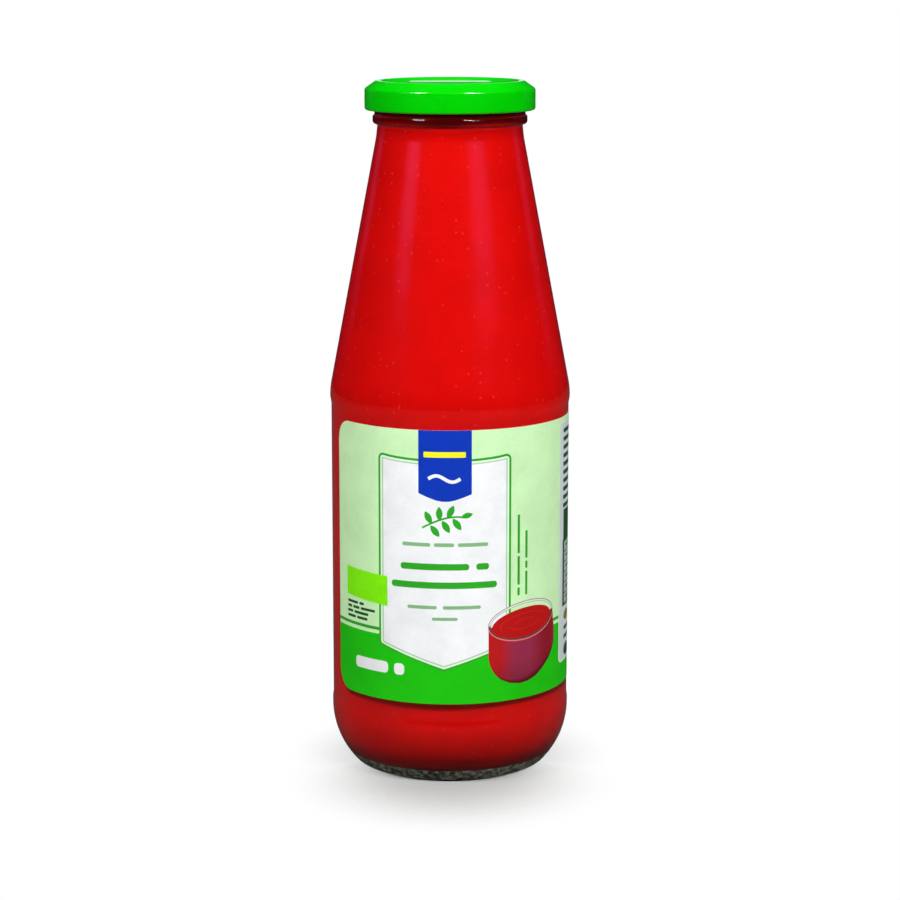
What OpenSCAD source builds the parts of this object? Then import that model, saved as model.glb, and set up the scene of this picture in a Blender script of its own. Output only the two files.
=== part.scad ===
// Passata bottle: a clear glass bottle filled with passata, with a metal twist-off lid and a
// wrapped paper label. All sizes in millimetres.
// Origin: centre of the base, on the surface the bottle stands on. +Z up, label front towards -Y.

/* [Bottle body] */
// outside width of the body at its lower band
body_d = 78.0; // [65:0.1:95]
// height of the glass from the base to the rim
glass_h = 222.2; // [185:0.1:267]
// height of the lower edge of the label panel
panel_z = 21.3; // [18:0.1:26]
// height of the label panel
panel_h = 99.2; // [80:0.1:120]
// how far the label panel is set in from the lower band
panel_in = 0.25; // [0.1:0.05:1]
// height of the plain band above the label panel, up to the shoulder's corner
band_h = 3.9; // [3:0.1:12]
// how far that band stands out from the label panel
band_out = 0.4; // [0.1:0.05:1]
// rounding between the straight side and the shoulder
shoulder_round = 24; // [10:1:60]

/* [Bottle base] */
// rounding of the heel
heel_round = 26.5; // [10:0.5:32]
// height of the heel's corner, before it is rounded
heel_h = 8.4; // [6:0.1:11]
// how far the base is drawn in from the body by the heel
heel_in = 7.8; // [5:0.1:10]
// rounding between the heel and the ring it stands on
foot_round = 2.5; // [1:0.1:4]
// width of the flat ring the bottle stands on
ring_w = 2.7; // [1.5:0.1:5]
// height of the hollow under the base
punt_h = 3.4; // [1.5:0.1:5]

/* [Glass thickness] */
// thickness of the side wall
wall = 2.4; // [1.5:0.1:4]
// thickness of the neck wall
neck_wall = 2.55; // [1.5:0.05:4]
// thickness at the heel
heel_t = 3.8; // [2.5:0.1:6]
// thickness of the floor
floor_t = 3.8; // [2:0.1:6]

/* [Neck and mouth] */
// width of the mouth outside, under the lid
mouth_d = 48.5; // [42:0.1:60]
// height of the neck and mouth above the shoulder
neck_h = 16.7; // [14:0.1:23]
// how far the neck is set in from the mouth
neck_in = 0.5; // [0:0.05:1.5]
// depth of the groove below the ring, from the neck
groove_in = 0.45; // [0:0.05:1]
// height of the ring below the lid
bead_h = 2.6; // [1.5:0.1:4]
// how far that ring stands out from the mouth
bead_out = 0.6; // [0.2:0.05:1.5]
// clear height between the ring and the lid
bead_gap = 1.75; // [0.5:0.05:4]

/* [Lid] */
// height of the lid
lid_h = 9.25; // [8:0.05:12]
// how far the lid's skirt stands out from the mouth
lid_out = 3.15; // [2.6:0.05:5]
// thickness of the lid's sheet
lid_t = 0.25; // [0.15:0.05:0.6]
// how far the lid's raised ring is set in from the mouth
lid_ring_in = 0.35; // [0:0.05:1]
// width of the flat on top of that ring
lid_ring_w = 1.6; // [0.8:0.1:2.5]
// how much lower the lid's outer edge lies than the ring
lid_drop = 2.5; // [1:0.1:3.5]
// rounding between the sloping edge and the skirt
lid_round = 1.2; // [0.5:0.1:2]
// thickness of the rolled lower edge
curl = 1.5; // [0.8:0.1:2.2]
// thickness of lid and seal together, where the lid sits on the rim
seal_t = 1.3; // [1:0.1:2]
// thickness of the lid's panel
lid_panel_t = 0.35; // [0.2:0.05:0.8]
// width of the slope between the raised ring and the lid's panel
lid_slope_w = 2; // [1:0.1:4]
// width of the raised button in the middle
button_d = 27.4; // [10:0.1:30]
// height of the button
button_h = 0.6; // [0.1:0.05:0.8]

/* [Label] */
// bare glass between the panel's lower edge and the label
label_low = 6.55; // [2:0.05:20]
// bare glass between the label and the panel's upper edge
label_high = 3.85; // [2:0.05:20]
// thickness of the paper
label_t = 0.1; // [0.1:0.05:0.3]
// how far the label's first end lies to the left of the front, along the glass
label_left = 45.2; // [20:0.1:80]
// how much of the way round the bottle the label goes, in degrees
label_a = 330; // [120:1:345]
// rounding of the label's corners
label_round = 7; // [1:0.1:12]

/* [Hidden] */
$fn = 96;

// largest distance between a rounding and the flats that stand in for it
FINE = 0.02;
// half the height over which the lower step and the upper step of the panel run out
LOW_STEP = 0.75;
HIGH_STEP = 1;

// radii of the glass, outside and inside
band_r = body_d / 2;
panel_r = band_r - panel_in;
top_band_r = panel_r + band_out;
foot_r = band_r - heel_in;
ring_r = foot_r - ring_w;
mouth_r = mouth_d / 2;
neck_r = mouth_r - neck_in;
bead_r = mouth_r + bead_out;
bore_r = neck_r - neck_wall;
inside_r = panel_r - wall;

// heights
panel_top = panel_z + panel_h;
shoulder_z = panel_top + band_h;
neck_z = glass_h - neck_h;
crest_z = glass_h + seal_t;
skirt_z = crest_z - lid_h;
bead_top = skirt_z - bead_gap;
bead_low = bead_top - bead_h;
floor_z = punt_h + floor_t;

// the inside of the shoulder runs along the outside of it
slope = (top_band_r - neck_r) / (neck_z - shoulder_z);
inside_shoulder_z = neck_z - (inside_r - bore_r) / slope;

lid_r = mouth_r + lid_out;
lid_panel_z = glass_h + lid_panel_t;
lid_ring_r = mouth_r - lid_ring_in;
lid_panel_r = lid_ring_r - lid_ring_w - lid_slope_w;
button_r = button_d / 2;

label_z = panel_z + label_low;
label_h = panel_h - label_low - label_high;
label_start = -90 - label_left / panel_r * 180 / PI;

// ---- outlines ----
// A corner is [radius, height, rounding]. Each rounding is an arc that meets both of its sides.

function leg(a, b) = norm([b[0] - a[0], b[1] - a[1]]);
function heading(a, b) = atan2(b[1] - a[1], b[0] - a[0]);
function wrapped(t) = t > 180 ? t - 360 : (t < -180 ? t + 360 : t);
function bend(c, i) = wrapped(heading(c[i], c[i + 1]) - heading(c[i - 1], c[i]));

// length that corner i's rounding would take from the sides next to it
function wanted(c, i) =
  i <= 0 || i >= len(c) - 1 ? 0 : c[i][2] * tan(abs(bend(c, i)) / 2);

// how much of that the side from corner i to the next one has room for
function room(c, i) =
  min(1, 0.995 * leg(c[i], c[i + 1]) / max(0.001, wanted(c, i) + wanted(c, i + 1)));

function taken(c, i) =
  i <= 0 || i >= len(c) - 1 ? 0 : wanted(c, i) * min(room(c, i - 1), room(c, i));

function turned(p, a) = [p[0] * cos(a) - p[1] * sin(a), p[0] * sin(a) + p[1] * cos(a)];

function arc(c, i) =
  let (
    t = taken(c, i),
    b = bend(c, i),
    here = [c[i][0], c[i][1]],
    r = t / tan(abs(b) / 2),
    back = heading(c[i], c[i - 1]),
    start = here + t * [cos(back), sin(back)],
    side = b > 0 ? -90 : 90,
    middle = start + r * [cos(back + side), sin(back + side)],
    steps = max(2, ceil(abs(b) / (2 * acos(1 - FINE / max(r, 2 * FINE)))))
  )
  [for (k = [0:steps]) middle + turned(start - middle, b * k / steps)];

function rounded(c) = [
  for (i = [0:len(c) - 1])
    each (taken(c, i) > 0.01 ? arc(c, i) : [[c[i][0], c[i][1]]])
];

// outside of the glass, from the middle of the base up to the rim
glass_outside = rounded([
  [0, punt_h, 0],
  [0.6 * ring_r, punt_h, 25],
  [ring_r, 0, 0.6],
  [foot_r, 0, foot_round],
  [band_r, heel_h, heel_round],
  [band_r, panel_z - LOW_STEP, 1.5],
  [panel_r, panel_z + LOW_STEP, 1.5],
  [panel_r, panel_top - HIGH_STEP, 2],
  [top_band_r, panel_top + HIGH_STEP, 2],
  [top_band_r, shoulder_z, shoulder_round],
  [neck_r, neck_z, 8],
  [neck_r - groove_in, bead_low - 0.2, 0.6],
  [bead_r, bead_low, 0.4 * bead_h],
  [bead_r, bead_top, 0.4 * bead_h],
  [mouth_r, bead_top + 0.3, 0.4],
  [mouth_r, glass_h, 1],
  [bore_r, glass_h, 0],
]);

// inside of the glass, from the rim down to the middle of the floor
glass_inside = rounded([
  [bore_r, glass_h, 0],
  [bore_r, neck_z, 10],
  [inside_r, inside_shoulder_z, shoulder_round],
  [inside_r, heel_h + heel_t, 0.8 * heel_round],
  [foot_r - heel_t, heel_t + 1, 9],
  [0.55 * ring_r, floor_z, 25],
  [0, floor_z, 0],
]);

lid_outline = rounded([
  [0, lid_panel_z + button_h, 0],
  [button_r - button_h, lid_panel_z + button_h, 0.6],
  [button_r + button_h, lid_panel_z, 0.6],
  [lid_panel_r, lid_panel_z, 0.8],
  [lid_ring_r - lid_ring_w, crest_z, 1],
  [lid_ring_r, crest_z, 1],
  [lid_r, crest_z - lid_drop, lid_round],
  [lid_r, skirt_z, 0.48 * curl],
  [lid_r - curl, skirt_z, 0.48 * curl],
  [lid_r - curl, skirt_z + curl, 0.3 * curl],
  [lid_r - lid_t, skirt_z + 1.2 * curl, 0.2 * curl],
  [lid_r - lid_t, crest_z - lid_drop - 0.1, lid_round - lid_t],
  [mouth_r + 0.2, glass_h, 0.3],
  [0, glass_h, 0],
]);

// what is cut away outside a rounded corner of the label; it crosses the edges at a clear angle
CORNER_STEPS = 6;
corner_shape = concat(
  [[-3, -3], [label_round + 1, -3]],
  [
    for (k = [0:CORNER_STEPS])
      let (a = 8 + k * (90 - 2 * 8) / CORNER_STEPS)
      label_round * [1 - sin(a), 1 - cos(a)]
  ],
  [[-3, label_round + 1]]
);

// ---- pieces ----

module glass() {
  color([0.80, 0.88, 0.84, 0.35])
  rotate_extrude()
  polygon(concat(glass_outside, glass_inside));
}

// fills the bottle: its sides are the inside of the glass, and it reaches up to the lid
module passata() {
  color([0.72, 0.05, 0.03])
  rotate_extrude()
  polygon(concat(glass_inside, [[0, glass_h]]));
}

module lid() {
  color([0.02, 0.70, 0.03])
  rotate_extrude()
  polygon(lid_outline);
}

// cuts one corner of the label away; it runs outwards along +X
module corner_cut() {
  translate([panel_r * 0.5, 0, 0])
  rotate([90, 0, 90])
  linear_extrude(height = panel_r)
  polygon(corner_shape);
}

module label_end() {
  translate([0, 0, label_z])
  corner_cut();
  translate([0, 0, label_z + label_h])
  mirror([0, 0, 1])
  corner_cut();
}

module label() {
  color([0.74, 0.93, 0.68])
  rotate([0, 0, label_start])
  difference() {
    rotate_extrude(angle = label_a)
    translate([panel_r, label_z])
    square([label_t, label_h]);
    label_end();
    rotate([0, 0, label_a])
    mirror([0, 1, 0])
    label_end();
  }
}

glass();
passata();
lid();
label();
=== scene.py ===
"""Looks of the passata bottle: glass, filling, lid and printed label, with a plain stage."""

import math

import bpy
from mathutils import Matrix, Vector
from mathutils.geometry import delaunay_2d_cdt


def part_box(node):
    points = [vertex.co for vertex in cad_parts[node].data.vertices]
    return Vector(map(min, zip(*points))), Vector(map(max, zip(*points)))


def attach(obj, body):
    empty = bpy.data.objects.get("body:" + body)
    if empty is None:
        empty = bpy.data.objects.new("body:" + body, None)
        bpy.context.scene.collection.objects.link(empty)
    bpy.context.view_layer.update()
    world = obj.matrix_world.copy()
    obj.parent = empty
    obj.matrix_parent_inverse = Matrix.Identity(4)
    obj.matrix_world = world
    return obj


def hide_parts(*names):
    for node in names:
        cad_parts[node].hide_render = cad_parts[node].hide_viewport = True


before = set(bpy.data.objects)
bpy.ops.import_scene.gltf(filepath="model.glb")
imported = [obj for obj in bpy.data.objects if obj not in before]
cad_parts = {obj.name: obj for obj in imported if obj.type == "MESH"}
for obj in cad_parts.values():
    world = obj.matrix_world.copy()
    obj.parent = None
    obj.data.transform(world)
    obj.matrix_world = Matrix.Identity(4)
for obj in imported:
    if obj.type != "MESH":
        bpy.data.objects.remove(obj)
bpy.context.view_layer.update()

bl_info = {
    "name": "Passata Bottle",
    "version": (1, 0, 0),
    "blender": (4, 5, 0),
    "location": "View3D > Sidebar > Bottle",
    "description": "Builds a filled glass bottle with its lid, its printed label and a stage",
    "category": "Add Mesh",
}

MM = 0.001
# the stippled ring round the base: how high it reaches, and how far in from the body
STIPPLE_HEIGHT = 4.0 * MM
STIPPLE_INSET = 12.0 * MM
# how far the ring that the bottle stands on and its outer edge are set in from the body, in mm
RING_IN = 10.5
FOOT_IN = 7.8
# how far the band above the label stands out from the panel, in mm
TOP_BAND_OUT = 0.37
# longest step along an outline, in mm, and the number of steps round a piece
STEP = 6.0
SEGMENTS = 144
# heights in metres between which the passata darkens by a painted shade: at the ring, then under the lid
RING_PAINTED_SHADE = (0.2083, 0.2103)
LID_PAINTED_SHADE = (0.2118, 0.2136)
# the floor's fades: centre along Y, where it starts, where it ends, and its strength; the shade on the
# floor near the bottle is real shadow, with its falloff painted by these fades
FLOOR_FADES = ((-0.03, 0.008, 0.056, 1.0), (0.0, 0.03, 0.056, 0.35))
FLOOR_RADIUS = 1.2
CAMERA_PLACE = (0.0, -0.861, 0.266)
CAMERA_DOWN = 10.71
CAMERA_LENS = 106.8


def linear(red, green, blue):
    """Turns a colour from 0 to 255 a channel into the values that shaders use."""
    shares = (c / 255 for c in (red, green, blue))
    return tuple(
        c / 12.92 if c <= 0.04045 else ((c + 0.055) / 1.055) ** 2.4 for c in shares
    )


def length(label, description, default_mm):
    """A size property; the default is given in millimetres."""
    return bpy.props.FloatProperty(
        name=label, description=description, default=default_mm * MM,
        min=0.0, unit="LENGTH", precision=5,
    )


def colour(label, description, rgb):
    """A colour property; the default is given from 0 to 255 a channel."""
    return bpy.props.FloatVectorProperty(
        name=label, description=description, subtype="COLOR", size=3,
        default=linear(*rgb), min=0.0, max=1.0,
    )


# ---- sizes and colours ----

glass_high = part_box("glass")[1]
lid_low, lid_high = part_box("lid")
label_low, label_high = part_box("label")


class BottleSizes(bpy.types.PropertyGroup):
    """Sizes of the glass bottle and its filling."""

    height: length("Height", "Height of the glass, from base to rim", glass_high.z / MM)
    band: length("Body radius", "Radius of the body at its lower band", 39.0)
    panel: length("Panel radius", "Radius of the panel behind the label", 38.75)
    panel_low: length("Panel bottom", "Height of the panel's lower edge", 21.3)
    panel_high: length("Panel top", "Height of the panel's upper edge", 120.5)
    shoulder: length("Shoulder height", "Height at which the shoulder draws in", 124.4)
    neck: length("Neck radius", "Radius of the neck above the shoulder", 23.75)
    neck_low: length("Neck height", "Height at which the neck starts", 205.5)
    mouth: length("Mouth radius", "Outside radius of the mouth under the lid", 24.25)
    wall: length("Wall", "Thickness of the side wall", 2.4)
    sunk: length("Filling overlap", "How far the filling reaches into the wall", 0.15)


class LidSizes(bpy.types.PropertyGroup):
    """Sizes of the twist-off lid."""

    radius: length("Radius", "Outside radius of the skirt", lid_high.x / MM)
    skirt_low: length("Skirt bottom", "Height of the skirt's lower edge", lid_low.z / MM)
    crest: length("Edge height", "Height of the raised edge", lid_high.z / MM)
    sheet: length("Sheet", "Thickness of the metal sheet", 0.25)
    curl: length("Curl", "Thickness of the rolled lower edge", 1.5)
    ring: length("Ring radius", "Outside radius of the raised ring on top", 23.9)
    ring_width: length("Ring width", "Width of the flat on top of the ring", 1.6)
    drop: length("Edge drop", "How much lower the outer edge lies than the ring", 2.5)
    edge_round: length("Edge rounding", "Rounding between the slope and the skirt", 1.2)
    button: length("Button radius", "Radius of the raised button in the middle", 13.7)


class LabelSizes(bpy.types.PropertyGroup):
    """Sizes of the wrapped paper label."""

    radius: length("Radius", "Radius of the printed side", 38.85)
    paper: length("Paper", "Thickness of the paper", 0.1)
    low: length("Bottom", "Height of the lower edge", label_low.z / MM)
    high: length("Top", "Height of the upper edge", label_high.z / MM)
    left: length("Left end", "Way from the front to the left end, along the glass", 45.2)
    corner: length("Corner", "Rounding of the corners", 7.0)
    turn: bpy.props.FloatProperty(
        name="Turn", description="How far round the bottle the label goes",
        default=math.radians(330), subtype="ANGLE",
    )


class Colours(bpy.types.PropertyGroup):
    """Colours of the pieces."""

    passata: colour("Passata", "Tomato passata", (234, 9, 4))
    passata_dark: colour("Passata shade", "Darker pulp in the passata", (217, 6, 4))
    passata_fleck: colour("Passata flecks", "Light flecks in the passata", (240, 52, 40))
    # painted shade: the passata's colour where the lid's shadow is painted in, at the ring and under the
    # lid
    passata_painted_shade: colour("Passata, deep", "Passata in the shade of the lid", (26, 0, 4))
    glass: colour("Glass", "Tint of the clear glass", (238, 246, 240))
    stipple: colour("Stippled glass", "Stippled ring round the base", (128, 132, 112))
    stipple_dark: colour("Stipple, pits", "Dark pits of the stippled ring", (34, 30, 22))
    stipple_light: colour("Stipple, points", "Light points of the stippled ring", (226, 230, 218))
    lacquer: colour("Lid", "Lacquer of the lid", (1, 196, 2))
    liner: colour("Lid inside", "Seal and varnish inside the lid", (214, 208, 190))
    pale: colour("Pale green", "Ground of the label", (209, 251, 190))
    field: colour("Green field", "Field along the label's lower edge", (26, 199, 4))
    line: colour("Green line", "Lines and lettering bars", (44, 170, 34))
    frame_line: colour("Frame line", "Inner line of the shield", (176, 208, 178))
    grey_green: colour("Thin bars", "Thin bars on the shield", (132, 186, 130))
    gap: colour("Shield gap", "Pale line between the shield's outlines", (226, 252, 216))
    white: colour("White", "Shield and plain paper", (244, 247, 246))
    blue: colour("Blue", "Tab at the top of the label", (0, 53, 182))
    yellow: colour("Yellow", "Bar on the tab", (246, 240, 30))
    lime: colour("Lime", "Plain patch beside the shield", (132, 250, 2))
    dark: colour("Dark green", "Small bars", (30, 84, 40))
    panel: colour("Side panel", "Pale field at the label's side", (214, 226, 222))
    box: colour("Side box", "Rows of the ruled box", (176, 196, 182))
    olive: colour("Olive", "Spot on the side panel", (128, 126, 30))
    sauce: colour("Printed sauce", "Sauce in the printed bowl", (190, 14, 14))
    swirl: colour("Printed swirl", "Swirl in the printed sauce", (206, 34, 26))
    bowl_lit: colour("Bowl, lit side", "Left side of the printed bowl", (188, 14, 6))
    bowl: colour("Bowl, front", "Front of the printed bowl", (150, 42, 72))
    bowl_shade: colour("Bowl, shade side", "Right side of the printed bowl", (138, 16, 28))
    pink: colour("Bowl highlight", "Light line under the printed rim", (226, 120, 116))
    rim: colour("Printed rim", "Rim of the printed bowl", (226, 230, 222))
    rim_dark: colour("Printed rim shade", "Shaded side of the printed rim", (104, 62, 52))
    rim_line: colour("Printed rim line", "Inner line of the printed rim", (168, 170, 158))
    bowl_low: colour("Bowl, low", "Lower part of the printed bowl", (118, 20, 42))
    bowl_edge: colour("Bowl, lower edge", "Lower edge of the printed bowl", (84, 10, 26))


# ---- outlines of round pieces ----


def rounded(corners, fine=0.004):
    """Rounds a row of (radius, height, rounding) corners with arcs that meet both sides."""
    points = [Vector(c[:2]) for c in corners]
    count = len(corners)
    turn, reach = [0.0] * count, [0.0] * count
    for i in range(1, count - 1):
        before, after = points[i] - points[i - 1], points[i + 1] - points[i]
        angle = math.atan2(before.x * after.y - before.y * after.x, before.dot(after))
        turn[i] = angle
        reach[i] = corners[i][2] * math.tan(abs(angle) / 2)
    room = []
    for i in range(count - 1):
        side = (points[i + 1] - points[i]).length
        room.append(min(1.0, 0.995 * side / max(1e-3, reach[i] + reach[i + 1])))
    outline = [tuple(points[0])]
    for i in range(1, count - 1):
        taken = reach[i] * min(room[i - 1], room[i])
        if taken < 0.01:
            outline.append(tuple(points[i]))
            continue
        radius = taken / math.tan(abs(turn[i]) / 2)
        back = (points[i - 1] - points[i]).normalized()
        start = points[i] + taken * back
        side = Vector((back.y, -back.x)) * (1 if turn[i] > 0 else -1)
        middle = start + side * radius
        steps = max(2, math.ceil(abs(turn[i]) / (2 * math.acos(1 - fine / max(radius, 2 * fine)))))
        spoke = start - middle
        for k in range(steps + 1):
            a = turn[i] * k / steps
            outline.append((
                middle.x + spoke.x * math.cos(a) - spoke.y * math.sin(a),
                middle.y + spoke.x * math.sin(a) + spoke.y * math.cos(a),
            ))
    outline.append(tuple(points[-1]))
    return outline


def with_spacing(outline, gap):
    """Adds points so that no two neighbours are further apart than gap."""
    filled = [outline[0]]
    for a, b in zip(outline, outline[1:]):
        parts = max(1, math.ceil(math.dist(a, b) / gap))
        for k in range(1, parts + 1):
            filled.append((a[0] + (b[0] - a[0]) * k / parts, a[1] + (b[1] - a[1]) * k / parts))
    return filled


def revolved(name, outline, segments, sharp=40.0):
    """Turns an outline in millimetres, which starts and ends on the axis, into a closed mesh."""
    verts, rings = [], []
    for radius, height in outline:
        if radius < 1e-6:
            rings.append([len(verts)])
            verts.append((0.0, 0.0, height * MM))
            continue
        rings.append(list(range(len(verts), len(verts) + segments)))
        for k in range(segments):
            a = math.tau * k / segments
            verts.append((radius * MM * math.sin(a), -radius * MM * math.cos(a), height * MM))
    faces = []
    for low, high in zip(rings, rings[1:]):
        for k in range(segments):
            n = (k + 1) % segments
            if len(low) == 1 and len(high) == 1:
                continue
            if len(low) == 1:
                faces.append((low[0], high[n], high[k]))
            elif len(high) == 1:
                faces.append((low[k], low[n], high[0]))
            else:
                faces.append((low[k], low[n], high[n], high[k]))
    mesh = bpy.data.meshes.new(name)
    mesh.from_pydata(verts, [], faces)
    mesh.polygons.foreach_set("use_smooth", [True] * len(mesh.polygons))
    mesh.set_sharp_from_angle(angle=math.radians(sharp))
    mesh.validate()
    piece = bpy.data.objects.new(name, mesh)
    bpy.context.scene.collection.objects.link(piece)
    return piece


def glass_outside(b):
    """Corners of the bottle's outside, from the middle of the base up to the rim."""
    ring, foot = b.band / MM - RING_IN, b.band / MM - FOOT_IN
    band, panel, neck, mouth = b.band / MM, b.panel / MM, b.neck / MM, b.mouth / MM
    low, high, rim = b.panel_low / MM, b.panel_high / MM, b.height / MM
    bead_low, bead_high = rim - 12.3, rim - 9.7
    return [
        (0, 3.4, 0), (0.6 * ring, 3.4, 25), (ring, 0, 0.6), (foot, 0, 2.5),
        (band, 8.4, 26.5), (band, low - 0.75, 1.5),
        (panel, low + 0.75, 1.5), (panel, high - 1, 2),
        (panel + TOP_BAND_OUT, high + 1, 2), (panel + TOP_BAND_OUT, b.shoulder / MM, 24),
        (neck, b.neck_low / MM, 8), (neck - 0.45, bead_low - 0.2, 0.6),
        (mouth + 0.6, bead_low, 1.04), (mouth + 0.6, bead_high, 1.04),
        (mouth, bead_high + 0.3, 0.4), (mouth, rim, 1), (neck - 2.55, rim, 0),
    ]


def glass_inside(b, sunk=0.0):
    """Corners of the bottle's inside, from the rim down to the middle of the floor."""
    bore, inside = b.neck / MM - 2.55, (b.panel - b.wall) / MM
    slope = (b.panel / MM + 0.4 - b.neck / MM) / ((b.neck_low - b.shoulder) / MM)
    shoulder = b.neck_low / MM - (inside - bore) / slope
    foot, ring = b.band / MM - FOOT_IN, b.band / MM - RING_IN
    return [
        (bore + sunk, b.height / MM, 0), (bore + sunk, b.neck_low / MM, 10),
        (inside + sunk, shoulder, 24), (inside + sunk, 12.2 - sunk / 2, 21.2),
        (foot - 3.8 + sunk / 2, 4.8 - sunk, 9), (0.55 * ring, 7.2 - sunk, 25),
        (0, 7.2 - sunk, 0),
    ]


def lid_corners(s):
    """Corners of the lid, over the top, down the skirt and back up inside it."""
    out, crest, low, curl = s.radius / MM, s.crest / MM, s.skirt_low / MM, s.curl / MM
    panel, under = crest - 0.95, crest - 1.3
    sheet, button, edge = s.sheet / MM, s.button / MM, crest - s.drop / MM
    ring, inner = s.ring / MM, (s.ring - s.ring_width) / MM
    return [
        (0, panel + 0.6, 0), (button - 0.6, panel + 0.6, 0.6), (button + 0.6, panel, 0.6),
        (inner - 2, panel, 0.8), (inner, crest, 1), (ring, crest, 1),
        (out, edge, s.edge_round / MM),
        (out, low, 0.48 * curl), (out - curl, low, 0.48 * curl),
        (out - curl, low + curl, 0.3 * curl), (out - sheet, low + 1.2 * curl, 0.2 * curl),
        (out - sheet, edge - 0.1, s.edge_round / MM - sheet), (ring + 0.55, under, 0.3),
        (0, under, 0),
    ]


# ---- node helpers ----


def new_material(name):
    """An empty material with its output and a Principled shader; returns all three."""
    material = bpy.data.materials.new(name)
    material.use_nodes = True
    tree = material.node_tree
    tree.nodes.clear()
    output = tree.nodes.new("ShaderNodeOutputMaterial")
    shader = tree.nodes.new("ShaderNodeBsdfPrincipled")
    tree.links.new(shader.outputs[0], output.inputs["Surface"])
    return material, tree, shader


def node(tree, kind, inputs=None, **settings):
    """Adds a node, sets its properties, and sets or links its inputs."""
    made = tree.nodes.new(kind)
    for key, value in settings.items():
        setattr(made, key, value)
    for key, value in (inputs or {}).items():
        if isinstance(value, bpy.types.NodeSocket):
            tree.links.new(value, made.inputs[key])
        else:
            made.inputs[key].default_value = value
    return made


def blend_colours(tree, share, first, second):
    """Mixes two colours and returns the result's socket."""
    made = tree.nodes.new("ShaderNodeMix")
    made.data_type, made.blend_type = "RGBA", "MIX"
    for key, value in ((0, share), (6, first), (7, second)):
        if isinstance(value, bpy.types.NodeSocket):
            tree.links.new(value, made.inputs[key])
        elif key == 0:
            made.inputs[key].default_value = value
        else:
            made.inputs[key].default_value = (*value, 1.0)[:4]
    return made.outputs[2]


def maths(tree, operation, first, second=0.0, clamp=False):
    """Adds a Math node and returns its output."""
    return node(
        tree, "ShaderNodeMath", {0: first, 1: second}, operation=operation, use_clamp=clamp
    ).outputs[0]


def stepped(tree, value, low, high, to_low=0.0, to_high=1.0):
    """Maps a value from one range to another, smoothly and clamped."""
    return node(
        tree, "ShaderNodeMapRange",
        {"Value": value, "From Min": low, "From Max": high, "To Min": to_low, "To Max": to_high},
        interpolation_type="SMOOTHSTEP",
    ).outputs["Result"]


def group_of(name, inputs, outputs):
    """A new shader node group with the named sockets; returns the group and its ends."""
    group = bpy.data.node_groups.new(name, "ShaderNodeTree")
    for label, kind, default in inputs:
        socket = group.interface.new_socket(label, in_out="INPUT", socket_type=kind)
        if default is not None:
            socket.default_value = default
    for label, kind in outputs:
        group.interface.new_socket(label, in_out="OUTPUT", socket_type=kind)
    return group, group.nodes.new("NodeGroupInput"), group.nodes.new("NodeGroupOutput")


def mottle_group():
    """Uneven colour, gloss and height, shared by inks, lacquer, liner and filling."""
    name = "Mottle"
    if name in bpy.data.node_groups:
        return bpy.data.node_groups[name]
    group, source, result = group_of(
        name,
        [
            ("Position", "NodeSocketVector", None),
            ("Color", "NodeSocketColor", (0.8, 0.8, 0.8, 1.0)),
            ("Shade", "NodeSocketColor", (0.7, 0.7, 0.7, 1.0)),
            ("Patch Scale", "NodeSocketFloat", 120.0),
            ("Grain Scale", "NodeSocketFloat", 1500.0),
            ("Amount", "NodeSocketFloat", 0.5),
            ("Gloss", "NodeSocketFloat", 0.4),
            ("Gloss Spread", "NodeSocketFloat", 0.1),
        ],
        [
            ("Color", "NodeSocketColor"),
            ("Roughness", "NodeSocketFloat"),
            ("Height", "NodeSocketFloat"),
        ],
    )
    at = source.outputs
    patches = node(
        group, "ShaderNodeTexNoise",
        {"Vector": at["Position"], "Scale": at["Patch Scale"], "Detail": 4.0, "Roughness": 0.6},
    ).outputs["Fac"]
    grain = node(
        group, "ShaderNodeTexNoise",
        {"Vector": at["Position"], "Scale": at["Grain Scale"], "Detail": 3.0, "Roughness": 0.55},
    ).outputs["Fac"]
    broad = maths(group, "MULTIPLY", patches, 0.65)
    fine = maths(group, "MULTIPLY", grain, 0.35)
    both = maths(group, "ADD", broad, fine)
    share = maths(group, "MULTIPLY", stepped(group, both, 0.35, 0.68), at["Amount"], clamp=True)
    group.links.new(blend_colours(group, share, at["Color"], at["Shade"]), result.inputs["Color"])
    off = maths(group, "MULTIPLY", maths(group, "SUBTRACT", both, 0.5), at["Gloss Spread"])
    group.links.new(maths(group, "ADD", at["Gloss"], off, clamp=True), result.inputs["Roughness"])
    group.links.new(grain, result.inputs["Height"])
    return group


def mottled(tree, position, base, shade, patch, grain, amount, gloss, spread):
    """Places the shared mottle group in a material and returns its outputs."""
    made = tree.nodes.new("ShaderNodeGroup")
    made.node_tree = mottle_group()
    tree.links.new(position, made.inputs["Position"])
    made.inputs["Color"].default_value = (*base, 1.0)
    made.inputs["Shade"].default_value = (*shade, 1.0)
    for key, value in (
        ("Patch Scale", patch), ("Grain Scale", grain), ("Amount", amount),
        ("Gloss", gloss), ("Gloss Spread", spread),
    ):
        made.inputs[key].default_value = value
    return made.outputs


def object_position(tree):
    """The point being shaded, in the object's own metres."""
    return node(tree, "ShaderNodeTexCoord").outputs["Object"]


def bumped(tree, shader, height, strength, distance):
    """Feeds a height into the shader's normal."""
    bump = node(
        tree, "ShaderNodeBump", {"Height": height, "Strength": strength, "Distance": distance}
    )
    tree.links.new(bump.outputs["Normal"], shader.inputs["Normal"])


# ---- materials ----


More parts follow.
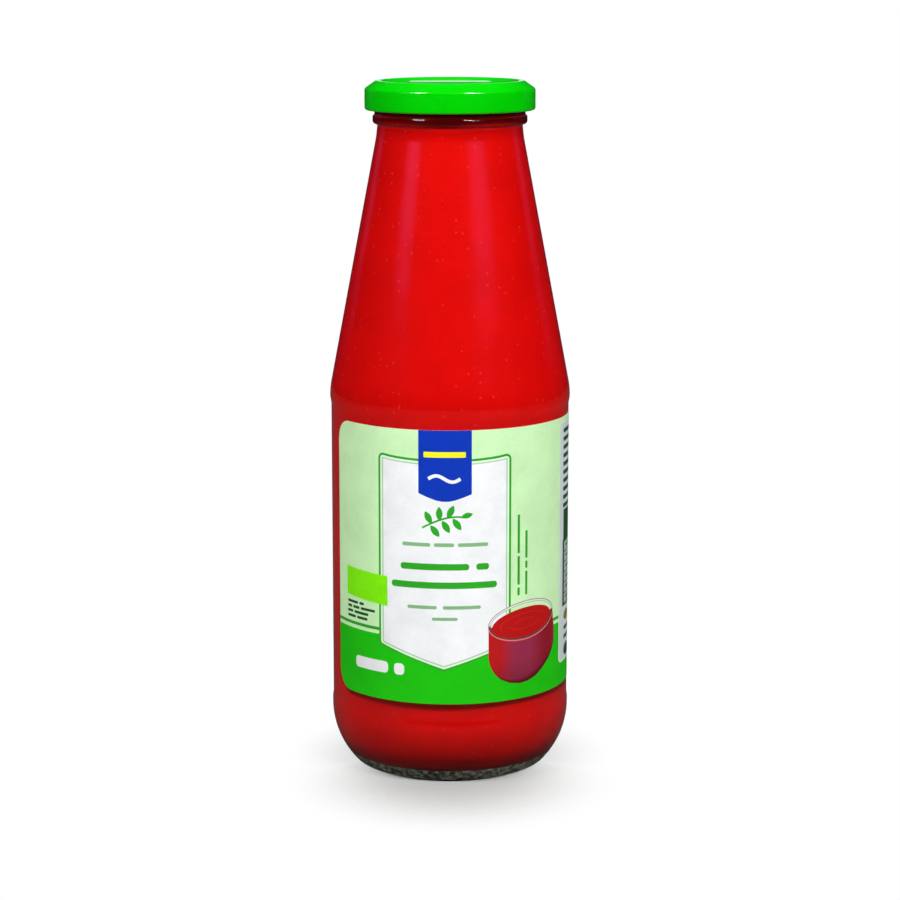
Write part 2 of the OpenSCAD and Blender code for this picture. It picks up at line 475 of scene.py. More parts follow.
def glass_material(c):
    """Clear bottle glass: faint tint, slight waviness, and less light let through at a slant."""
    material, tree, shader = new_material("clear_glass")
    shader.inputs["Base Color"].default_value = (*c.glass, 1.0)
    shader.inputs["Transmission Weight"].default_value = 1.0
    shader.inputs["IOR"].default_value = 1.5
    shader.inputs["Specular IOR Level"].default_value = 0.4
    shader.inputs["Roughness"].default_value = 0.03
    wave = node(
        tree, "ShaderNodeTexNoise",
        {"Vector": object_position(tree), "Scale": 45.0, "Detail": 1.5, "Roughness": 0.35},
    ).outputs["Fac"]
    bumped(tree, shader, wave, 0.5, 0.0008)
    # lamps reach what is behind the glass
    paths = tree.nodes.new("ShaderNodeLightPath").outputs
    passes = maths(tree, "MAXIMUM", paths["Is Shadow Ray"], paths["Is Diffuse Ray"])
    slant = node(tree, "ShaderNodeLayerWeight", {"Blend": 0.5}).outputs["Facing"]
    clear = blend_colours(tree, slant, (0.97, 0.985, 0.975), (0.42, 0.44, 0.43))
    open_side = node(tree, "ShaderNodeBsdfTransparent", {"Color": clear})
    mix = node(tree, "ShaderNodeMixShader", {0: passes, 1: shader.outputs[0], 2: open_side.outputs[0]})
    output = next(n for n in tree.nodes if n.type == "OUTPUT_MATERIAL")
    tree.links.new(mix.outputs[0], output.inputs["Surface"])
    return material


def stippled_material(c):
    """Stippled glass round the base: grey-green with dark pits and light points."""
    material, tree, shader = new_material("stippled_glass")
    position = object_position(tree)
    dots = node(tree, "ShaderNodeTexVoronoi", {"Vector": position, "Scale": 1500.0}).outputs
    patches = node(
        tree, "ShaderNodeTexNoise",
        {"Vector": position, "Scale": 620.0, "Detail": 3.0, "Roughness": 0.7},
    ).outputs["Fac"]
    dark = blend_colours(tree, stepped(tree, patches, 0.4, 0.6), c.stipple_dark, c.stipple)
    light = maths(
        tree, "MULTIPLY", stepped(tree, dots["Distance"], 0.42, 0.1), stepped(tree, patches, 0.5, 0.62))
    tree.links.new(blend_colours(tree, light, dark, c.stipple_light), shader.inputs["Base Color"])
    shader.inputs["Roughness"].default_value = 0.3
    bumped(tree, shader, maths(tree, "ADD", dots["Distance"], patches), 0.6, 0.0003)
    return material


def passata_material(c):
    """Matt tomato pulp: mottled, with sparse light flecks, and a painted shade at the ring and under the
    lid.
    """
    material, tree, shader = new_material("tomato_passata")
    position = object_position(tree)
    base = mottled(tree, position, c.passata, c.passata_dark, 60.0, 1400.0, 0.75, 0.42, 0.2)
    cells = node(tree, "ShaderNodeTexVoronoi", {"Vector": position, "Scale": 520.0}).outputs
    chance = node(tree, "ShaderNodeSeparateColor", {"Color": cells["Color"]}).outputs["Red"]
    mask = maths(
        tree, "MULTIPLY", stepped(tree, cells["Distance"], 0.3, 0.1), stepped(tree, chance, 0.8, 0.84))
    flecked = blend_colours(tree, maths(tree, "MULTIPLY", mask, 0.7), base["Color"], c.passata_fleck)
    # painted shade at the ring and under the lid; it stays whatever the light
    height = node(tree, "ShaderNodeSeparateXYZ", {"Vector": position}).outputs["Z"]
    shaded = maths(
        tree, "MAXIMUM",
        stepped(tree, height, *RING_PAINTED_SHADE, 0.0, 0.4), stepped(tree, height, *LID_PAINTED_SHADE, 0.0, 0.9))
    mixed = blend_colours(tree, shaded, flecked, c.passata_painted_shade)
    tree.links.new(mixed, shader.inputs["Base Color"])
    tree.links.new(base["Roughness"], shader.inputs["Roughness"])
    shader.inputs["Specular IOR Level"].default_value = 0.02
    bumped(tree, shader, base["Height"], 0.25, 0.0002)
    return material


def lacquer_material(c):
    """Green lacquer on tinplate: a clear coat over a faint orange-peel surface."""
    material, tree, shader = new_material("green_lacquer")
    position = object_position(tree)
    deep = tuple(v * 0.86 for v in c.lacquer)
    base = mottled(tree, position, c.lacquer, deep, 90.0, 1100.0, 0.35, 0.3, 0.12)
    tree.links.new(base["Color"], shader.inputs["Base Color"])
    tree.links.new(base["Roughness"], shader.inputs["Roughness"])
    shader.inputs["Specular IOR Level"].default_value = 0.04
    shader.inputs["Coat Weight"].default_value = 0.6
    shader.inputs["Coat Roughness"].default_value = 0.05
    bumped(tree, shader, base["Height"], 0.18, 0.0002)
    return material


def liner_material(c):
    """Cream varnish and soft seal on the inside of the lid."""
    material, tree, shader = new_material("lid_liner")
    position = object_position(tree)
    deep = tuple(v * 0.85 for v in c.liner)
    base = mottled(tree, position, c.liner, deep, 150.0, 1200.0, 0.5, 0.45, 0.15)
    tree.links.new(base["Color"], shader.inputs["Base Color"])
    tree.links.new(base["Roughness"], shader.inputs["Roughness"])
    bumped(tree, shader, base["Height"], 0.2, 0.0002)
    return material


def ink_material(name, rgb, gloss=0.5):
    """Ink on satin paper: slightly uneven coverage and fine paper grain."""
    material, tree, shader = new_material("ink_" + name)
    position = object_position(tree)
    deep = tuple(v * 0.87 for v in rgb)
    base = mottled(tree, position, tuple(rgb), deep, 90.0, 2600.0, 0.9, gloss, 0.12)
    tree.links.new(base["Color"], shader.inputs["Base Color"])
    tree.links.new(base["Roughness"], shader.inputs["Roughness"])
    shader.inputs["Specular IOR Level"].default_value = 0.15
    bumped(tree, shader, base["Height"], 0.2, 0.00012)
    return material


def bowl_material(c):
    """Ink of the printed bowl: it runs from its lit side through its front to its shaded side."""
    material = ink_material("bowl", c.bowl)
    tree = material.node_tree
    shader = next(n for n in tree.nodes if n.type == "BSDF_PRINCIPLED")
    inked = next(n for n in tree.nodes if n.type == "GROUP")
    split = node(tree, "ShaderNodeSeparateXYZ", {"Vector": object_position(tree)}).outputs
    turn = maths(tree, "ARCTAN2", split["X"], maths(tree, "MULTIPLY", split["Y"], -1.0))
    share = node(tree, "ShaderNodeMapRange", {"Value": turn, "From Min": 0.322, "From Max": 1.053})
    ramp = tree.nodes.new("ShaderNodeValToRGB")
    tree.links.new(share.outputs["Result"], ramp.inputs["Fac"])
    stops = ((0.0, c.bowl_lit), (0.14, c.bowl_lit), (0.32, c.bowl), (0.55, c.bowl),
             (0.78, c.bowl_shade), (0.93, c.bowl_shade), (1.0, c.bowl))
    while len(ramp.color_ramp.elements) < len(stops):
        ramp.color_ramp.elements.new(0.5)
    for element, (place, ink) in zip(ramp.color_ramp.elements, stops):
        element.position, element.color = place, (*ink, 1.0)
    low = stepped(tree, split["Z"], 0.033, 0.043, 0.45, 0.0)
    darker = blend_colours(tree, low, ramp.outputs["Color"], (0.08, 0.004, 0.008))
    grain = blend_colours(tree, 0.12, darker, inked.outputs["Color"])
    tree.links.new(grain, shader.inputs["Base Color"])
    return material


# ---- printed shapes ----
# Along the label runs s, from the front to the right; up it runs z. Both in millimetres.


def arc_points(cx, cz, rx, rz, start, stop, steps):
    """Points on an ellipse from one angle to another, in degrees."""
    return [
        (cx + rx * math.cos(math.radians(start + (stop - start) * k / steps)),
         cz + rz * math.sin(math.radians(start + (stop - start) * k / steps)))
        for k in range(steps + 1)
    ]


def tilted(points, cx, cz, degrees):
    """Turns points about a centre."""
    c, s = math.cos(math.radians(degrees)), math.sin(math.radians(degrees))
    return [(cx + (x - cx) * c - (z - cz) * s, cz + (x - cx) * s + (z - cz) * c) for x, z in points]


def bar(s0, z0, s1, z1, rounding=0.0):
    """A rectangle, with rounded corners if asked."""
    r = min(rounding, (s1 - s0) / 2 - 0.01, (z1 - z0) / 2 - 0.01)
    if r <= 0.01:
        return [(s0, z0), (s1, z0), (s1, z1), (s0, z1)]
    steps = 5
    return (
        arc_points(s0 + r, z0 + r, r, r, 180, 270, steps)
        + arc_points(s1 - r, z0 + r, r, r, 270, 360, steps)
        + arc_points(s1 - r, z1 - r, r, r, 0, 90, steps)
        + arc_points(s0 + r, z1 - r, r, r, 90, 180, steps)
    )


def ellipse(cx, cz, rx, rz, tilt=0.0, steps=48):
    """A closed ellipse."""
    return tilted(arc_points(cx, cz, rx, rz, 0, 360, steps)[:-1], cx, cz, tilt)


def band_between(outer, inner):
    """A thin closed band along an open line: out along one side and back along the other."""
    return outer + inner[::-1]


def shield(inset):
    """The shield's outline, drawn in by an inset all round."""
    left, right = -24.2 + inset, 20.3 - inset
    top, foot, point = 108.5 - inset, 45.6 + inset * 0.85, 38.6 + inset * 1.05
    middle, r = (left + right) / 2, max(0.4, 1.8 - inset)
    crown = [
        (left + r + (right - left - 2 * r) * k / 16,
         top - 1.2 * math.sin(math.pi * k / 16) ** 0.7)
        for k in range(1, 16)
    ]
    return (
        [(left, foot + r)]
        + arc_points(left + r, foot + r, r, r, 180, 238, 4)[1:]
        + [(middle, point)]
        + arc_points(right - r, foot + r, r, r, 302, 360, 4)
        + arc_points(right - r, top - r, r, r, 0, 90, 6)
        + crown[::-1]
        + arc_points(left + r, top - r, r, r, 90, 180, 6)
    )


def leaf(cx, cz, long, wide, tilt):
    """A pointed leaf."""
    steps = 14
    upper = [(cx - long / 2 + long * k / steps, cz + wide / 2 * math.sin(math.pi * k / steps) ** 0.8)
             for k in range(steps + 1)]
    lower = [(cx - long / 2 + long * k / steps, cz - wide / 2 * math.sin(math.pi * k / steps) ** 0.8)
             for k in range(1, steps)]
    return tilted(upper + lower[::-1], cx, cz, tilt)


def raised(points, most):
    """The inner points of a line, moved up by an amount that runs out towards both ends."""
    last = len(points) - 1
    return [
        (x, z + most * math.sin(math.pi * i / last)) for i, (x, z) in enumerate(points)
        if 0 < i < last
    ]


def curved_line(points, width):
    """A line of even width along a few points."""
    left, right = [], []
    for i, (x, z) in enumerate(points):
        a, b = points[max(0, i - 1)], points[min(len(points) - 1, i + 1)]
        dx, dz = b[0] - a[0], b[1] - a[1]
        size = math.hypot(dx, dz)
        left.append((x - dz / size * width / 2, z + dx / size * width / 2))
        right.append((x + dz / size * width / 2, z - dx / size * width / 2))
    return left + right[::-1]


def word_bars(ink, s0, z0, z1, widths, gap, rounding=0.6):
    """A row of plain bars that stands in for a line of lettering."""
    row, s = [], s0
    for width in widths:
        row.append((ink, bar(s, z0, s + width, z1, rounding)))
        s += width + gap
    return row


def shield_print():
    """White shield with its outlines, a sprig and rows of bars."""
    shapes = [
        ("line", shield(0.0)), ("gap", shield(0.75)),
        ("frame_line", shield(1.4)), ("white", shield(1.8)),
    ]
    stem = [(-8.9 + 13.2 * k / 16, 85.4 + 3.6 * math.sin(k / 16 * math.pi * 0.6)) for k in range(17)]
    shapes.append(("line", curved_line(stem, 0.6)))
    for s, z, tilt in ((-6.9, 88.7, 118), (-3.4, 90.0, 92), (0.2, 90.6, 64), (-4.8, 84.4, -52),
                       (-1.3, 85.8, -58), (2.2, 86.6, -54)):
        shapes.append(("line", leaf(s, z, 4.6, 2.1, tilt)))
    shapes.append(("line", leaf(5.4, 89.4, 3.8, 1.8, 14)))
    shapes += word_bars("grey_green", -15.5, 79.3, 80.5, [9.2, 6.4, 9.8], 1.2, 0.5)
    shapes += word_bars("line", -16.1, 71.7, 73.8, [22.2, 4.2], 2.3, 0.9)
    shapes += word_bars("line", -19.3, 65.7, 67.8, [34.6], 0.0, 0.9)
    shapes += word_bars("grey_green", -13.8, 59.0, 60.1, [9.6, 12.2], 1.9, 0.5)
    shapes += word_bars("grey_green", -5.8, 55.3, 56.3, [8.2], 0.0, 0.45)
    return shapes


def tab_print():
    """Blue tab at the top edge with two plain bars."""
    top = 118.0
    tab = [(-10.1, 96.5), (-7.4, 95.3), (-4.4, 94.25), (-2.4, 93.9), (-0.4, 93.9), (1.6, 94.3),
           (4.4, 95.25), (6.9, 96.2), (6.9, top), (-10.1, top)]
    wave = [(-6.9 + 10.2 * k / 12, 101.2 + 1.0 * math.sin(k / 12 * math.tau)) for k in range(13)]
    return [
        ("blue", tab), ("yellow", bar(-8.4, 108.0, 5.0, 109.8, 0.3)),
        ("white", curved_line(wave, 1.1)),
    ]


def bowl_print():
    """A plain glass bowl of sauce."""
    side = [(12.5, 52.4), (12.5, 42.0), (13.1, 39.7), (14.3, 37.4), (16.5, 35.2), (19.8, 33.6),
            (24.0, 32.9), (27.3, 33.2), (30.7, 34.3), (34.0, 36.2), (37.3, 38.7), (39.4, 41.2),
            (40.6, 43.7), (40.9, 46.2), (40.8, 48.7), (40.2, 51.2), (39.8, 55.0)]
    cx, cz, tilt = 26.1, 53.6, 4.9
    front = arc_points(cx, cz, 13.85, 6.5, 178, 358, 36)
    low_edge = side[3:15]
    back = [
        arc_points(cx, cz, 13.8 - cut, 6.3 - cut, -2, 182, 40) for cut in (0.0, 0.18, 0.75, 0.93)
    ]
    shapes = [
        ("bowl", side),
        ("bowl_low", band_between(low_edge, raised(low_edge, 1.9))),
        ("bowl_edge", band_between(low_edge, raised(low_edge, 0.9))),
        ("rim_dark", tilted(band_between(back[0], back[1]), cx, cz, tilt)),
        ("rim", tilted(band_between(back[1], back[2]), cx, cz, tilt)),
        ("rim_line", tilted(band_between(back[2], back[3]), cx, cz, tilt)),
        ("pink", tilted(band_between(front, arc_points(cx, cz, 13.5, 6.0, 178, 358, 36)), cx, cz, tilt)),
        ("rim_dark", tilted(band_between(
            arc_points(cx, cz, 13.55, 6.02, 176, 362, 36),
            arc_points(cx, cz + 0.25, 12.9, 5.3, 176, 362, 36)), cx, cz, tilt)),
        ("sauce", ellipse(25.9, 52.95, 12.35, 4.75, tilt)),
    ]
    for rx, rz, start, stop in ((9.6, 3.1, 20, 200), (6.9, 2.1, 190, 340), (4.2, 1.2, 30, 175)):
        shapes.append(("swirl", tilted(band_between(
            arc_points(25.9, 52.9, rx, rz, start, stop, 24),
            arc_points(25.9, 52.9, rx - 0.45, rz - 0.25, start, stop, 24)), 25.9, 52.9, tilt)))
    return shapes


def small_print():
    """Lime patch, fine bars and the upright lines beside the shield."""
    shapes = [("lime", [(-39.7, 60.0), (-20.9, 58.8), (-20.9, 68.6), (-39.7, 69.4)])]
    for row, parts in enumerate(([5.6, 2.2], [2.4, 3.2, 6.4], [3.0, 6.8], [4.4, 5.0])):
        z = 58.3 - 1.6 * row
        shapes += word_bars("dark", -39.3, z - 0.85, z, parts, 0.7, 0.3)
    for s, top, parts in ((22.8, 88.4, [12.6, 9.4, 2.6]), (25.9, 82.9, [9.0, 2.4, 7.8])):
        for tall in parts:
            shapes.append(("line", bar(s, top - tall, s + 0.9, top, 0.35)))
            top -= tall + 0.9
    shapes += word_bars("white", -34.8, 36.7, 40.5, [14.0, 3.6], 2.2, 1.3)
    return shapes


def side_print():
    """Pale panel round the side with bars, a ruled box and a few spots."""
    left, right = 44.8, 112.0
    shapes = [("gap", bar(left - 0.4, 35.0, right + 0.4, 115.0, 2.4)),
              ("panel", bar(left, 35.4, right, 114.6, 2.0))]
    for row in range(10):
        z = 112.6 - 2.75 * row
        parts = [11.0 + 3.0 * math.sin(1.7 * row + k) for k in range(4)]
        shapes += word_bars("dark", 48.0, z - 1.4, z, parts, 1.3, 0.4)
    shapes.append(("dark", bar(48.6, 75.6, 104.0, 85.8, 0.3)))
    shapes.append(("dark", bar(48.0, 53.4, 104.0, 75.8, 0.2)))
    for row in range(6):
        z = 74.9 - 3.5 * row
        shapes.append(("box", bar(49.9, z - 3.1, 84.0, z, 0.1)))
        shapes.append(("box", bar(84.6, z - 3.1, 103.2, z, 0.1)))
        shapes += word_bars("dark", 52.0, z - 2.0, z - 1.1, [13.0 + 5.0 * math.sin(2.1 * row)], 0, 0.2)
        shapes += word_bars("dark", 93.0, z - 2.0, z - 1.1, [8.0], 0, 0.2)
    shapes += [("olive", ellipse(53.2, 50.0, 3.6, 1.8)), ("dark", ellipse(53.6, 38.4, 3.8, 2.2))]
    shapes += word_bars("dark", 49.8, 45.2, 46.5, [8.0, 14.0, 9.0], 1.4, 0.4)
    shapes += word_bars("dark", 49.8, 42.2, 43.5, [12.0, 7.0], 1.4, 0.4)
    return shapes


def label_shapes(left, right, low, high):
    """Every printed field in painting order: later ones lie on top."""
    beyond = 2.0
    shapes = [
        ("pale", bar(left - beyond, low - beyond, right + beyond, high + beyond)),
        ("line", bar(left - beyond, 50.4, right + beyond, 51.4)),
        ("field", bar(left - beyond, low - beyond, right + beyond, 49.2)),
    ]
    return shapes + shield_print() + tab_print() + small_print() + side_print() + bowl_print()


def anticlockwise(outline):
    """The outline, turned round if it runs clockwise."""
    area = sum(a[0] * b[1] - b[0] * a[1] for a, b in zip(outline, outline[1:] + outline[:1]))
    return outline if area > 0 else outline[::-1]


def label_mesh(s, inks):
    """Cuts the printed fields into one sheet, bends it round and gives it thickness."""
    radius, inner = s.radius / MM, (s.radius - s.paper) / MM + 0.005
    scale = s.radius / (s.radius - s.paper)
    left = -s.left / MM * scale
    right = left + s.turn * radius
    low, high, r = s.low / MM, s.high / MM, s.corner / MM
    edge = (
        arc_points(left + r, low + r, r, r, 180, 270, 10)
        + arc_points(right - r, low + r, r, r, 270, 360, 10)
        + arc_points(right - r, high - r, r, r, 0, 90, 10)
        + arc_points(left + r, high - r, r, r, 90, 180, 10)
    )
    shapes = label_shapes(left, right, low, high)
    verts, faces = [Vector(p) for p in edge], [list(range(len(edge)))]
    for _, outline in shapes:
        faces.append(list(range(len(verts), len(verts) + len(outline))))
        verts += [Vector(p) for p in anticlockwise(outline)]
    strips, edges = 110, []
    for k in range(1, strips):
        x = left + (right - left) * k / strips
        edges.append((len(verts), len(verts) + 1))
        verts += [Vector((x, low - 1.0)), Vector((x, high + 1.0))]
    flat, _, cut, _, _, owners = delaunay_2d_cdt(verts, edges, faces, 0, 1e-5, True)
    kept, slots, names = [], [], list(inks)
    for face, owner in zip(cut, owners):
        if 0 in owner:
            tops = [o for o in owner if o > 0]
            kept.append(face)
            slots.append(names.index(shapes[max(tops) - 1][0]))
    used = sorted({v for face in kept for v in face})
    place = {v: i for i, v in enumerate(used)}

    def bent(v, at):
        angle = flat[v].x / radius
        return (at * MM * math.sin(angle), -at * MM * math.cos(angle), flat[v].y * MM)

    count = len(used)
    points = [bent(v, radius) for v in used] + [bent(v, inner) for v in used]
    front = [[place[v] for v in face] for face in kept]
    back = [[v + count for v in face[::-1]] for face in front]
    # an edge that no neighbour runs along the other way lies on the sheet's rim
    borders = {(a, b): None for face in front for a, b in zip(face, face[1:] + face[:1])}
    sides = [[b, a, a + count, b + count] for a, b in borders if (b, a) not in borders]
    mesh = bpy.data.meshes.new("label_print")
    mesh.from_pydata(points, [], front + back + sides)
    plain = names.index("white")
    mesh.polygons.foreach_set("material_index", slots + [plain] * (len(back) + len(sides)))
    mesh.polygons.foreach_set("use_smooth", [True] * len(mesh.polygons))
    mesh.set_sharp_from_angle(angle=math.radians(50))
    return mesh


# ---- operators ----


def finish_piece(piece, cad_node):
    """Hangs the piece on the root body and hides the CAD solid that it stands for."""
    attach(piece, "root")
    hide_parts(cad_node)


class BOTTLE_OT_glass(bpy.types.Operator):
    """Build the clear glass bottle"""

    bl_idname = "bottle.glass"
    bl_label = "Glass bottle"

    def execute(self, context):
        b = context.scene.bottle_sizes
        outline = with_spacing(rounded(glass_outside(b)), STEP)
        outline += with_spacing(rounded(glass_inside(b)), STEP)[1:]
        piece = revolved("bottle_glass", outline, SEGMENTS)
        c = context.scene.bottle_colours
        piece.data.materials.append(glass_material(c))
        piece.data.materials.append(stippled_material(c))
        for face in piece.data.polygons:
            if face.center.z < STIPPLE_HEIGHT and face.center.xy.length > b.band - STIPPLE_INSET:
                face.material_index = 1
        finish_piece(piece, "glass")
        return {"FINISHED"}


class BOTTLE_OT_passata(bpy.types.Operator):
    """Build the passata that fills the bottle"""

    bl_idname = "bottle.passata"
    bl_label = "Passata"

    def execute(self, context):
        b = context.scene.bottle_sizes
        outline = with_spacing(rounded(glass_inside(b, b.sunk / MM)), STEP)
        outline = [(0.0, b.height / MM - 0.02), (outline[0][0], b.height / MM - 0.02)] + outline[1:]
        piece = revolved("passata_fill", outline[::-1], SEGMENTS)
        piece.data.materials.append(passata_material(context.scene.bottle_colours))
        finish_piece(piece, "passata")
        return {"FINISHED"}


class BOTTLE_OT_lid(bpy.types.Operator):
    """Build the twist-off lid"""

    bl_idname = "bottle.lid"
    bl_label = "Lid"

    def execute(self, context):
        s = context.scene.bottle_lid_sizes
        outline = rounded(lid_corners(s))
        piece = revolved("twist_off_lid", outline[::-1], SEGMENTS, sharp=60.0)
        c = context.scene.bottle_colours
        piece.data.materials.append(lacquer_material(c))
        piece.data.materials.append(liner_material(c))
        # faces inside the skirt and under the panel show the liner
        inside = (s.radius - s.curl) * 1.004
        under = s.crest - 1.29 * MM
        for face in piece.data.polygons:
            middle = face.center
            if middle.xy.length < inside + 0.0013 and face.normal.z < 0.3 and middle.z < under:
                if middle.z > s.skirt_low + s.curl * 1.1:
                    face.material_index = 1
        finish_piece(piece, "lid")
        return {"FINISHED"}


class BOTTLE_OT_label(bpy.types.Operator):
    """Build the printed paper label"""

    bl_idname = "bottle.label"
    bl_label = "Label"

    def execute(self, context):
        c = context.scene.bottle_colours
        inks = (
            "pale", "field", "line", "frame_line", "grey_green", "gap", "white", "blue", "yellow",
            "lime", "dark", "panel", "box", "olive", "sauce", "swirl", "pink", "rim", "rim_dark",
            "rim_line", "bowl_low", "bowl_edge", "bowl",
        )
        mesh = label_mesh(context.scene.bottle_label_sizes, inks)
        for ink in inks[:-1]:
            mesh.materials.append(ink_material(ink, getattr(c, ink)))
        mesh.materials.append(bowl_material(c))
        piece = bpy.data.objects.new("paper_label", mesh)
        context.scene.collection.objects.link(piece)
        finish_piece(piece, "label")
        return {"FINISHED"}


def feather(lamp):
    """Lets a lamp's brightness run out towards its edges."""
    lamp.use_nodes = True
    tree = lamp.node_tree
    across = node(tree, "ShaderNodeSeparateXYZ", {
        "Vector": tree.nodes.new("ShaderNodeNewGeometry").outputs["Parametric"]}).outputs
    fall = []
    for key in ("X", "Y"):
        other = maths(tree, "SUBTRACT", 1.0, across[key])
        fall.append(maths(tree, "MULTIPLY", maths(tree, "MULTIPLY", across[key], other), 4.0))
    share = maths(tree, "POWER", maths(tree, "MULTIPLY", *fall), 1.5)
    lit = next(n for n in tree.nodes if n.type == "EMISSION")
    tree.links.new(maths(tree, "MULTIPLY", share, 2.6), lit.inputs["Strength"])


def soft_light(
    name, azimuth, elevation, distance, size, power, target, tint=None, mirrored=True
):
    """A rectangular lamp that faces the target from a direction given in degrees."""
    lamp = bpy.data.lights.new(name, "AREA")
    lamp.shape, lamp.size, lamp.size_y = "RECTANGLE", size[0], size[1]
    lamp.energy = power
    if tint:
        lamp.color = tint
        feather(lamp)
    made = bpy.data.objects.new(name, lamp)
    made.visible_glossy = mirrored
    a, e = math.radians(azimuth), math.radians(elevation)
    way = Vector((math.sin(a) * math.cos(e), -math.cos(a) * math.cos(e), math.sin(e)))
    made.location = Vector(target) + way * distance
    made.rotation_euler = (-way).to_track_quat("-Z", "Y").to_euler()
    bpy.context.scene.collection.objects.link(made)
    return made


def floor_material():
    """Pale matt floor that runs out into the white surround."""
    material, tree, shader = new_material("pale_floor")
    # pale where it is seen, darker in bounced light, and darkest in reflections
    path = tree.nodes.new("ShaderNodeLightPath").outputs
    seen = maths(tree, "MAXIMUM", path["Is Camera Ray"], path["Is Transmission Ray"])
    dim = blend_colours(tree, path["Is Diffuse Ray"], (0.06, 0.06, 0.06), (0.24, 0.24, 0.24))
    tone = blend_colours(tree, seen, dim, (0.5, 0.515, 0.5))
    tree.links.new(tone, shader.inputs["Base Color"])
    shader.inputs["Roughness"].default_value = 0.9
    shader.inputs["Specular IOR Level"].default_value = 0.1
    position = object_position(tree)
    # painted shadow falloff: the floor shows only near the bottle, centred in front of it, so the reach
    # and fading of its real shadow are set by these fades
    fades = []
    for middle, near, far, most in FLOOR_FADES:
        away = node(
            tree, "ShaderNodeVectorMath", {0: position, 1: (0.0, middle, 0.0)}, operation="DISTANCE"
        ).outputs["Value"]
        fades.append(stepped(tree, away, near, far, most, 0.0))
    unseen = maths(tree, "SUBTRACT", 1.0, seen)
    fade = maths(tree, "MAXIMUM", *fades)
    tree.links.new(maths(tree, "MAXIMUM", fade, unseen), shader.inputs["Alpha"])
    return material


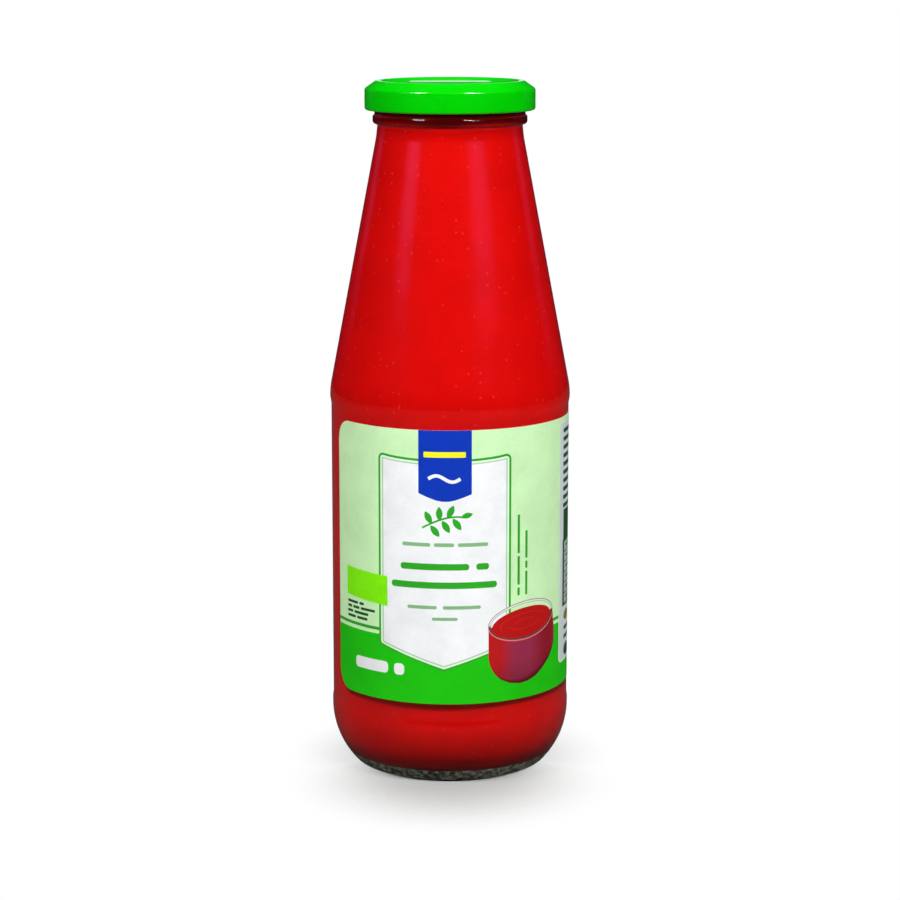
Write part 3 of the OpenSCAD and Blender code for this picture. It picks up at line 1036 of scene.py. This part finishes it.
class BOTTLE_OT_stage(bpy.types.Operator):
    """Build the floor, the lights and the camera"""

    bl_idname = "bottle.stage"
    bl_label = "Stage"

    def execute(self, context):
        scene = context.scene
        spokes = 64
        mesh = bpy.data.meshes.new("floor")
        mesh.from_pydata(
            [(FLOOR_RADIUS * math.cos(math.tau * k / spokes),
              FLOOR_RADIUS * math.sin(math.tau * k / spokes), 0.0)
             for k in range(spokes)], [], [list(range(spokes))])
        floor = bpy.data.objects.new("floor", mesh)
        floor.location.z = -0.0002
        scene.collection.objects.link(floor)
        mesh.materials.append(floor_material())

        target = (0.0, 0.0, 0.11)
        soft_light("front_soft", 4, 43, 1.5, (1.6, 0.35), 7.9, target, mirrored=False)
        soft_light("left_soft", -50, 35, 1.1, (0.3, 0.12), 6.2, target)
        soft_light("right_soft", 38, 35, 1.1, (0.4, 0.12), 8.5, target)
        # these two show only as highlights
        for name, azimuth in (("left_spark", -46), ("right_spark", 30)):
            spark = soft_light(name, azimuth, 44, 1.1, (0.2, 0.4), 9.0, target)
            spark.visible_diffuse = False
        soft_light("left_fill", -88, 45, 1.2, (0.8, 0.5), 1.4, target, mirrored=False)
        soft_light("right_fill", 88, 45, 1.2, (0.8, 0.5), 1.7, target, mirrored=False)
        soft_light("top_soft", 180, 58, 1.3, (0.9, 0.8), 9.0, target, mirrored=False)
        # dim feathered cards for the soft streaks in the glass
        violet = (0.6, 0.3, 1.0)
        soft_light("left_card", -58, 21, 1.2, (0.62, 0.42), 0.3, target, violet)
        soft_light("right_card", 42, 21, 1.2, (0.8, 0.42), 0.24, target, violet)
        soft_light("left_edge", -132, 12, 1.2, (0.5, 0.5), 0.06, target, violet)
        soft_light("right_edge", 122, 12, 1.2, (0.5, 0.5), 0.05, target, violet)
        soft_light("back_card", 180, 7, 1.3, (0.5, 0.14), 0.12, target, (0.85, 1.0, 0.95))

        world = bpy.data.worlds.new("white_surround")
        scene.world = world
        world.use_nodes = True
        tree = world.node_tree
        tree.nodes.clear()
        seen = node(tree, "ShaderNodeBackground", {"Color": (1, 1, 1, 1), "Strength": 1.0})
        dim = node(tree, "ShaderNodeBackground", {"Color": (0.75, 0.45, 1.0, 1), "Strength": 0.02})
        path = tree.nodes.new("ShaderNodeLightPath").outputs
        clear = maths(tree, "MAXIMUM", path["Is Camera Ray"], path["Is Transmission Ray"])
        mix = node(tree, "ShaderNodeMixShader", {0: clear, 1: dim.outputs[0], 2: seen.outputs[0]})
        out = tree.nodes.new("ShaderNodeOutputWorld")
        tree.links.new(mix.outputs[0], out.inputs["Surface"])

        camera = bpy.data.objects.new("camera", bpy.data.cameras.new("camera"))
        camera.data.sensor_width = 36.0
        camera.data.lens = CAMERA_LENS
        camera.data.clip_start = 0.05
        camera.location = CAMERA_PLACE
        camera.rotation_euler = (math.radians(90 - CAMERA_DOWN), 0.0, 0.0)
        scene.collection.objects.link(camera)
        scene.camera = camera
        scene.view_settings.view_transform = "Standard"
        return {"FINISHED"}


class BOTTLE_PT_panel(bpy.types.Panel):
    """Lists the pieces of the bottle and their sizes"""

    bl_idname = "BOTTLE_PT_panel"
    bl_label = "Passata Bottle"
    bl_space_type = "VIEW_3D"
    bl_region_type = "UI"
    bl_category = "Bottle"

    def draw(self, context):
        layout, scene = self.layout, context.scene
        for operator in PIECES:
            layout.operator(operator.bl_idname)
        for group in ("bottle_sizes", "bottle_lid_sizes", "bottle_label_sizes", "bottle_colours"):
            box = layout.box()
            values = getattr(scene, group)
            for key in values.__annotations__:
                box.prop(values, key)


GROUPS = {
    "bottle_sizes": BottleSizes,
    "bottle_lid_sizes": LidSizes,
    "bottle_label_sizes": LabelSizes,
    "bottle_colours": Colours,
}
PIECES = (BOTTLE_OT_glass, BOTTLE_OT_passata, BOTTLE_OT_lid, BOTTLE_OT_label, BOTTLE_OT_stage)


def register():
    """Registers the classes and hangs the property groups on the scene."""
    for cls in (*GROUPS.values(), *PIECES, BOTTLE_PT_panel):
        bpy.utils.register_class(cls)
    for key, cls in GROUPS.items():
        setattr(bpy.types.Scene, key, bpy.props.PointerProperty(type=cls))


def unregister():
    """Undoes register."""
    for key in GROUPS:
        delattr(bpy.types.Scene, key)
    for cls in reversed((*GROUPS.values(), *PIECES, BOTTLE_PT_panel)):
        bpy.utils.unregister_class(cls)


def main():
    """Builds every piece and the stage."""
    register()
    bpy.ops.bottle.glass()
    bpy.ops.bottle.passata()
    bpy.ops.bottle.lid()
    bpy.ops.bottle.label()
    bpy.ops.bottle.stage()


if __name__ == "__main__":
    main()
